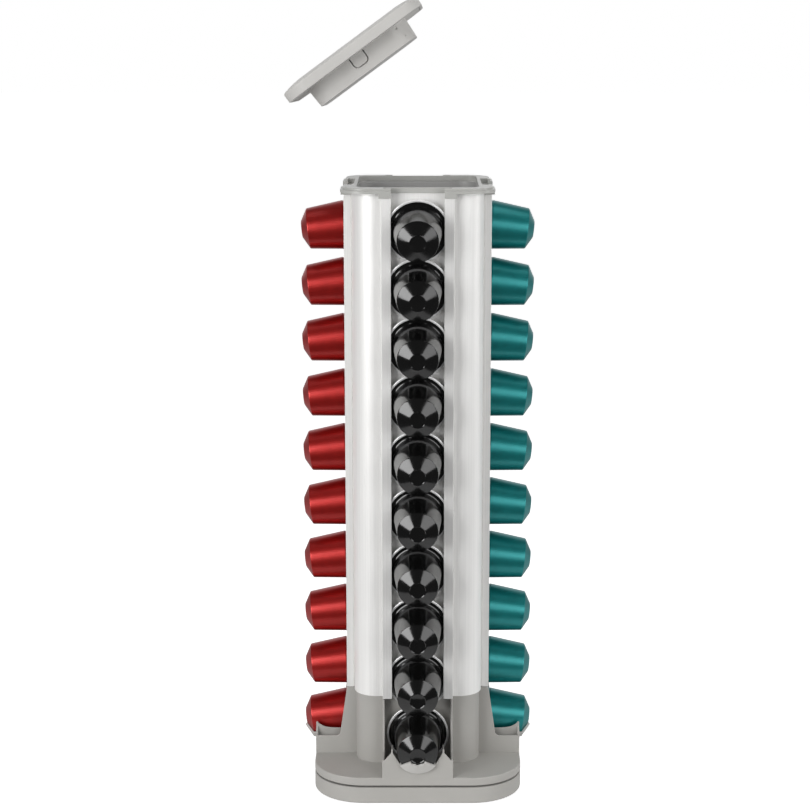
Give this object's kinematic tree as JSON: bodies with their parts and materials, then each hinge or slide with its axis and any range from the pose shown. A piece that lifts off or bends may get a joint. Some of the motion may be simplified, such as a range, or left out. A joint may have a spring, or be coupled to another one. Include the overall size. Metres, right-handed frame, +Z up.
{
  "type": "coffee capsule dispenser",
  "caption": "Square four-column coffee capsule tower on a ball-bearing turntable, with open storage tube, catch chutes and plug-in lid.",
  "frame": {"origin": "centre of the foot's flat underside, on the turntable axis and in the plane that the dispenser stands on", "axes": "+Z up along the turntable axis; -Y is the front, the column of black capsules; +X is the right, the column of teal capsules"},
  "size_m": [0.1441, 0.1367, 0.4673],
  "materials": {
    "warm_grey_plastic": "matte",
    "pale_grey_plastic": "matte",
    "floor_plastic": "matte",
    "collar_plastic": "satin",
    "rubber": "matte",
    "steel": "polished",
    "nylon": "matte",
    "anodised_aluminium": "satin anodised",
    "black_foil": "lacquered, glossy",
    "teal_foil": "lacquered, satin",
    "red_foil": "lacquered, satin"
  },
  "bodies": {
    "foot": {"foot_tray": "warm_grey_plastic", "rubber_foot_1": "rubber", "rubber_foot_2": "rubber", "rubber_foot_3": "rubber", "rubber_foot_4": "rubber", "lower_race": "steel", "pivot_screw": "steel", "pivot_washer": "steel"},
    "cage": {"ball_cage": "nylon", "bearing_ball_1": "steel", "bearing_ball_2": "steel", "bearing_ball_3": "steel", "bearing_ball_4": "steel", "bearing_ball_5": "steel", "bearing_ball_6": "steel"},
    "tower": {"upper_race": "steel", "base_moulding": "warm_grey_plastic", "compartment_floor": "floor_plastic", "compartment_tube": "anodised_aluminium", "corner_rail_1": "anodised_aluminium", "corner_rail_2": "anodised_aluminium", "corner_rail_3": "anodised_aluminium", "corner_rail_4": "anodised_aluminium", "top_collar": "collar_plastic", "capsule_front_01": "black_foil", "capsule_front_02": "black_foil", "capsule_front_03": "black_foil", "capsule_front_04": "black_foil", "capsule_front_05": "black_foil", "capsule_front_06": "black_foil", "capsule_front_07": "black_foil", "capsule_front_08": "black_foil", "capsule_front_09": "black_foil", "capsule_front_10": "black_foil", "capsule_right_01": "teal_foil", "capsule_right_02": "teal_foil", "capsule_right_03": "teal_foil", "capsule_right_04": "teal_foil", "capsule_right_05": "teal_foil", "capsule_right_06": "teal_foil", "capsule_right_07": "teal_foil", "capsule_right_08": "teal_foil", "capsule_right_09": "teal_foil", "capsule_right_10": "teal_foil", "capsule_left_01": "red_foil", "capsule_left_02": "red_foil", "capsule_left_03": "red_foil", "capsule_left_04": "red_foil", "capsule_left_05": "red_foil", "capsule_left_06": "red_foil", "capsule_left_07": "red_foil", "capsule_left_08": "red_foil", "capsule_left_09": "red_foil", "capsule_left_10": "red_foil"},
    "lid": {"lid_cover": "pale_grey_plastic", "lid_plug": "pale_grey_plastic"}
  },
  "joints": [
    {"name": "turntable_spin", "type": "hinge", "parent": "foot", "child": "tower", "pos_m": [0, 0, 0.0084], "axis": [0, 0, 1], "continuous": true},
    {"name": "cage_spin", "type": "hinge", "parent": "foot", "child": "cage", "pos_m": [0, 0, 0.0075], "axis": [0, 0, 1], "continuous": true},
    {"name": "lid_lift", "type": "hinge", "parent": "tower", "child": "lid", "pos_m": [-0.1284, 0, 0.3453], "axis": [-0.0698, -0.9976, 0], "range_deg": [-36.3, 0]}
  ],
  "couplings": [
    {"joint": "cage_spin", "follows": "turntable_spin", "ratio": 0.5}
  ]
}
